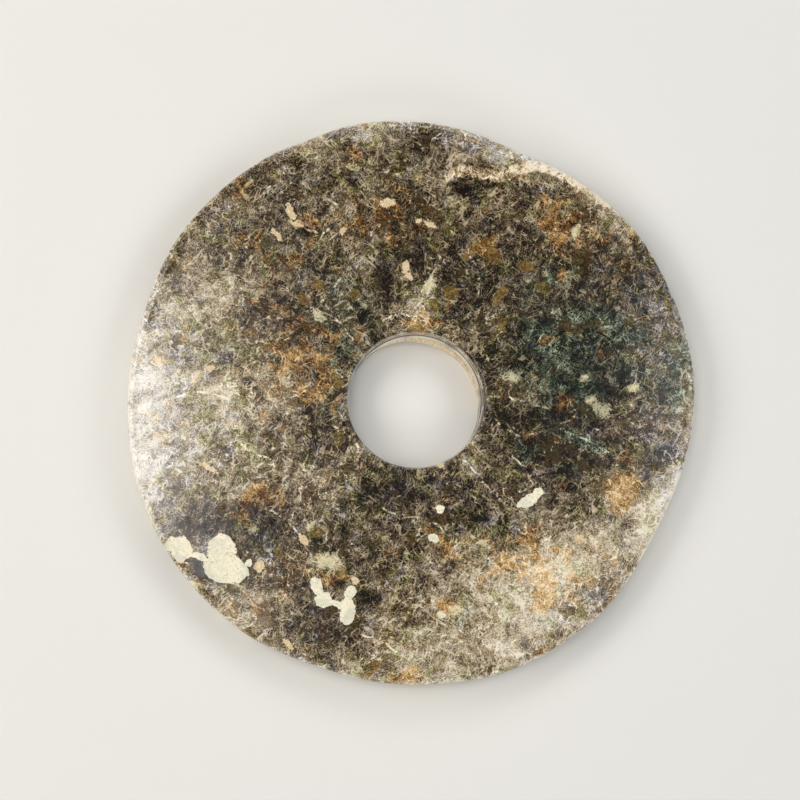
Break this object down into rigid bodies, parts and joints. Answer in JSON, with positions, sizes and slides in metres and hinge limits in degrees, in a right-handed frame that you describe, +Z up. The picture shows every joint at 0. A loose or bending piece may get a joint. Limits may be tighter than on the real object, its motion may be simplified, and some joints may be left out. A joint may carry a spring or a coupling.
{
  "type": "jade bi disc",
  "caption": "Flat stone ring, ground slightly out of round, with a hole drilled from both faces; lies flat as an ornament or display piece.",
  "frame": {"origin": "on the surface the disc lies on, under the middle of the outline's bounding box", "axes": "+Z up through the disc's thickness, out of the better face; +Y is the disc's top as it is shown upright, +X its right-hand side"},
  "size_m": [0.2014, 0.2006, 0.012],
  "materials": {
    "jade": "dark green and brown mottled nephrite with pale altered patches, polished to a soft sheen"
  },
  "bodies": {
    "root": {"bi_disc": "jade"}
  },
  "joints": []
}
